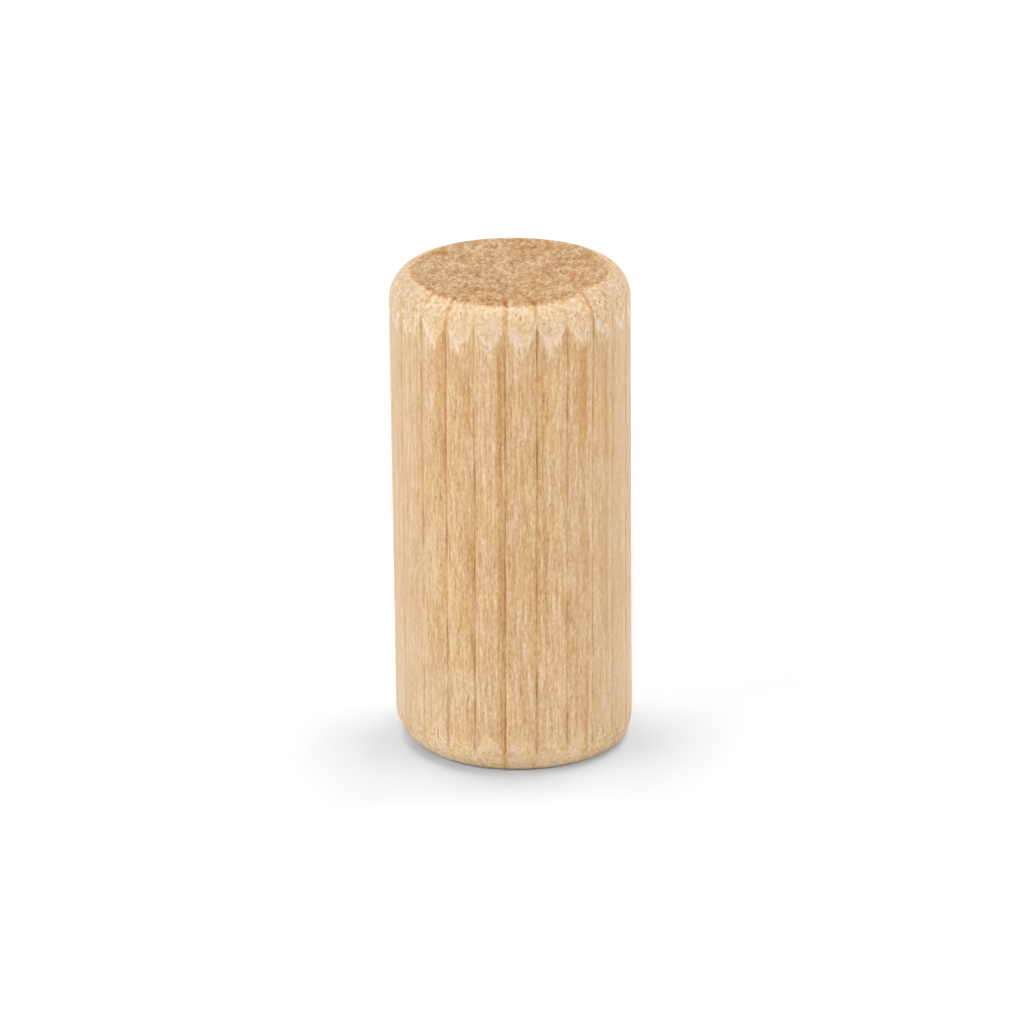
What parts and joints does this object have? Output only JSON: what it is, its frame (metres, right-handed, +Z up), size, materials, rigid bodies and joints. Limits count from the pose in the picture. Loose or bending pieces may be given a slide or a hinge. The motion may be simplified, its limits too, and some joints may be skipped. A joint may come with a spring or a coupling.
{
  "type": "fluted wood plug",
  "caption": "Short round wooden plug with straight lengthwise flutes and rounded end rims, made to be pressed or glued into a drilled hole.",
  "frame": {"origin": "centre of the lower sawn end, on the plug's axis", "axes": "+Z up along the plug's axis and its grain, +X through the root of one flute"},
  "size_m": [0.01, 0.01, 0.0205],
  "materials": {
    "hardwood": "matte"
  },
  "bodies": {
    "root": {"plug": "hardwood"}
  },
  "joints": []
}
